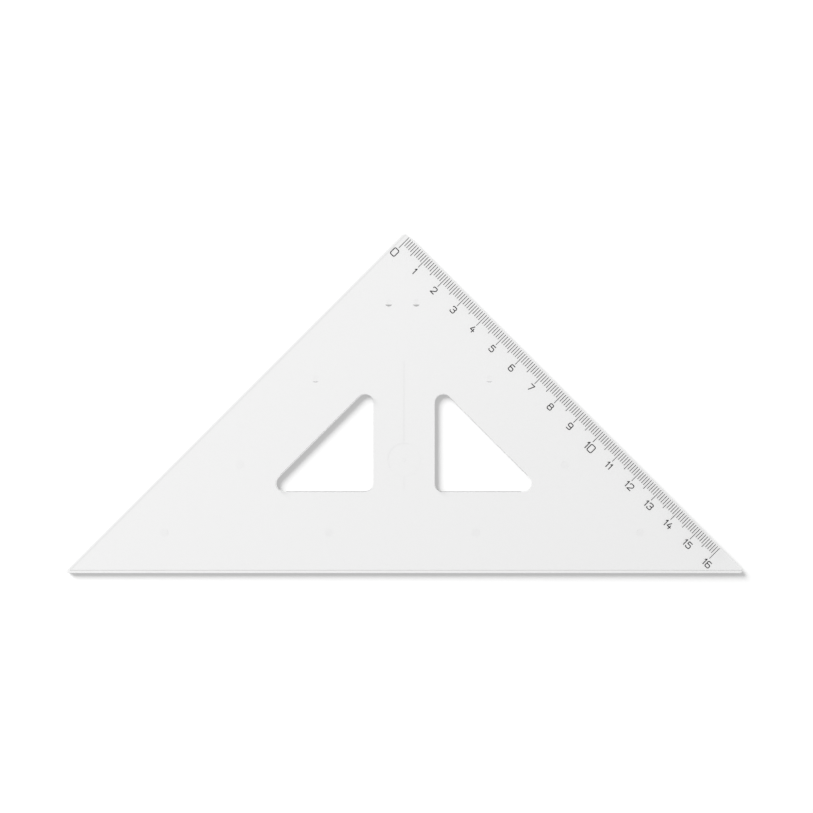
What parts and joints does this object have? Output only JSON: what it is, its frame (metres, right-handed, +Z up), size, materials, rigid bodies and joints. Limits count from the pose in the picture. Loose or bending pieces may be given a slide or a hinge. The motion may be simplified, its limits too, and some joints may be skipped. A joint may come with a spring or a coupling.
{
  "type": "triangle ruler",
  "caption": "Clear 45 degree set square with two windows, low feet below and a stamped centimetre scale along one short edge.",
  "frame": {"origin": "under the middle of the outline, on the plane that the feet stand on", "axes": "+X along the long edge towards the end of the scale, +Y from the long edge towards the square corner, +Z up through the stamped face"},
  "size_m": [0.2466, 0.1238, 0.0021],
  "materials": {
    "clear_polystyrene": "clear, moulded and polished",
    "black_foil": "hot stamped, dull"
  },
  "bodies": {
    "root": {"clear_plate": "clear_polystyrene", "centimetre_mark_00": "black_foil", "centimetre_mark_01": "black_foil", "centimetre_mark_02": "black_foil", "centimetre_mark_03": "black_foil", "centimetre_mark_04": "black_foil", "centimetre_mark_05": "black_foil", "centimetre_mark_06": "black_foil", "centimetre_mark_07": "black_foil", "centimetre_mark_08": "black_foil", "centimetre_mark_09": "black_foil", "centimetre_mark_10": "black_foil", "centimetre_mark_11": "black_foil", "centimetre_mark_12": "black_foil", "centimetre_mark_13": "black_foil", "centimetre_mark_14": "black_foil", "centimetre_mark_15": "black_foil", "centimetre_mark_16": "black_foil", "half_centimetre_mark_00": "black_foil", "half_centimetre_mark_01": "black_foil", "half_centimetre_mark_02": "black_foil", "half_centimetre_mark_03": "black_foil", "half_centimetre_mark_04": "black_foil", "half_centimetre_mark_05": "black_foil", "half_centimetre_mark_06": "black_foil", "half_centimetre_mark_07": "black_foil", "half_centimetre_mark_08": "black_foil", "half_centimetre_mark_09": "black_foil", "half_centimetre_mark_10": "black_foil", "half_centimetre_mark_11": "black_foil", "half_centimetre_mark_12": "black_foil", "half_centimetre_mark_13": "black_foil", "half_centimetre_mark_14": "black_foil", "half_centimetre_mark_15": "black_foil"}
  },
  "joints": []
}
